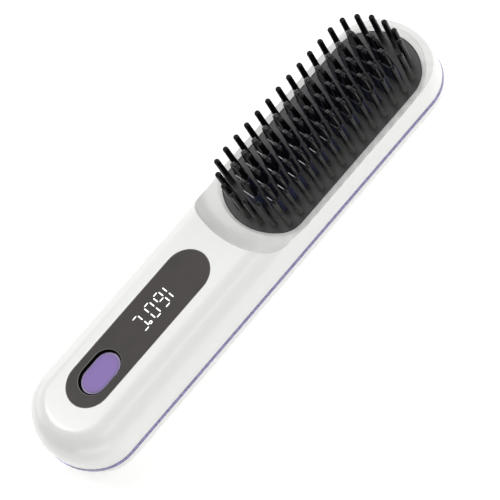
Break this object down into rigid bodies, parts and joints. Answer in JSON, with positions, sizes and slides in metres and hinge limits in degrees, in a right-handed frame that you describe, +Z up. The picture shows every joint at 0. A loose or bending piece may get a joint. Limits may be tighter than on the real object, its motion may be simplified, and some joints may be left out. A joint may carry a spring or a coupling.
{
  "type": "cordless straightening brush",
  "caption": "Cordless heated straightening brush: two-part handle with a trim band, a smoked panel with display and push button, and a heated comb head ringed by guard pins.",
  "frame": {"origin": "on the rest face, under the middle of the body", "axes": "+X from the butt of the handle to the head, +Y across, +Z up through the comb"},
  "size_m": [0.19, 0.042, 0.034],
  "materials": {
    "shell_white": "pearl white, polished",
    "trim_lilac": "lilac, metallic",
    "panel_smoke": "smoked lens",
    "button_lilac": "lilac, satin",
    "plate_dark": "dark, satin",
    "comb_black": "black, glossy",
    "fin_navy": "dark blue coating",
    "heater_metal": "plain",
    "element_ceramic": "ceramic",
    "mica": "mica",
    "steel": "plain",
    "board_green": "solder mask",
    "part_black": "plain",
    "display_white": "segment display block",
    "cell_wrap": "cell pouch",
    "foam": "foam",
    "lead_red": "sleeve"
  },
  "bodies": {
    "body": {"front_shell": "shell_white", "rear_shell": "shell_white", "trim_band": "trim_lilac", "control_panel": "panel_smoke", "face_plate": "plate_dark", "guard_pins": "comb_black", "tooth_caps": "comb_black", "heating_fins": "fin_navy", "display_module": "display_white", "display_mask": "part_black", "main_board": "board_green", "board_screws": "steel", "switch_body": "part_black", "heater_connector": "part_black", "battery_pack": "cell_wrap", "battery_pad": "foam", "charge_board": "board_green", "usb_socket": "steel", "usb_tongue": "part_black", "charge_screws": "steel", "heater_plate": "heater_metal", "heating_elements": "element_ceramic", "insulation_sheet": "mica", "heater_clamp": "steel", "heater_screws": "steel", "temperature_sensor": "part_black", "thermal_fuse": "steel", "heater_leads": "lead_red", "battery_leads": "lead_red"},
    "button": {"power_button": "button_lilac", "switch_plunger": "part_black"}
  },
  "joints": [
    {"name": "button_press", "type": "slide", "parent": "body", "child": "button", "axis": [0, 0, -1], "range_m": [0, 0.0006], "stiffness_N_per_m": 2500, "springref_m": -0.0004}
  ]
}
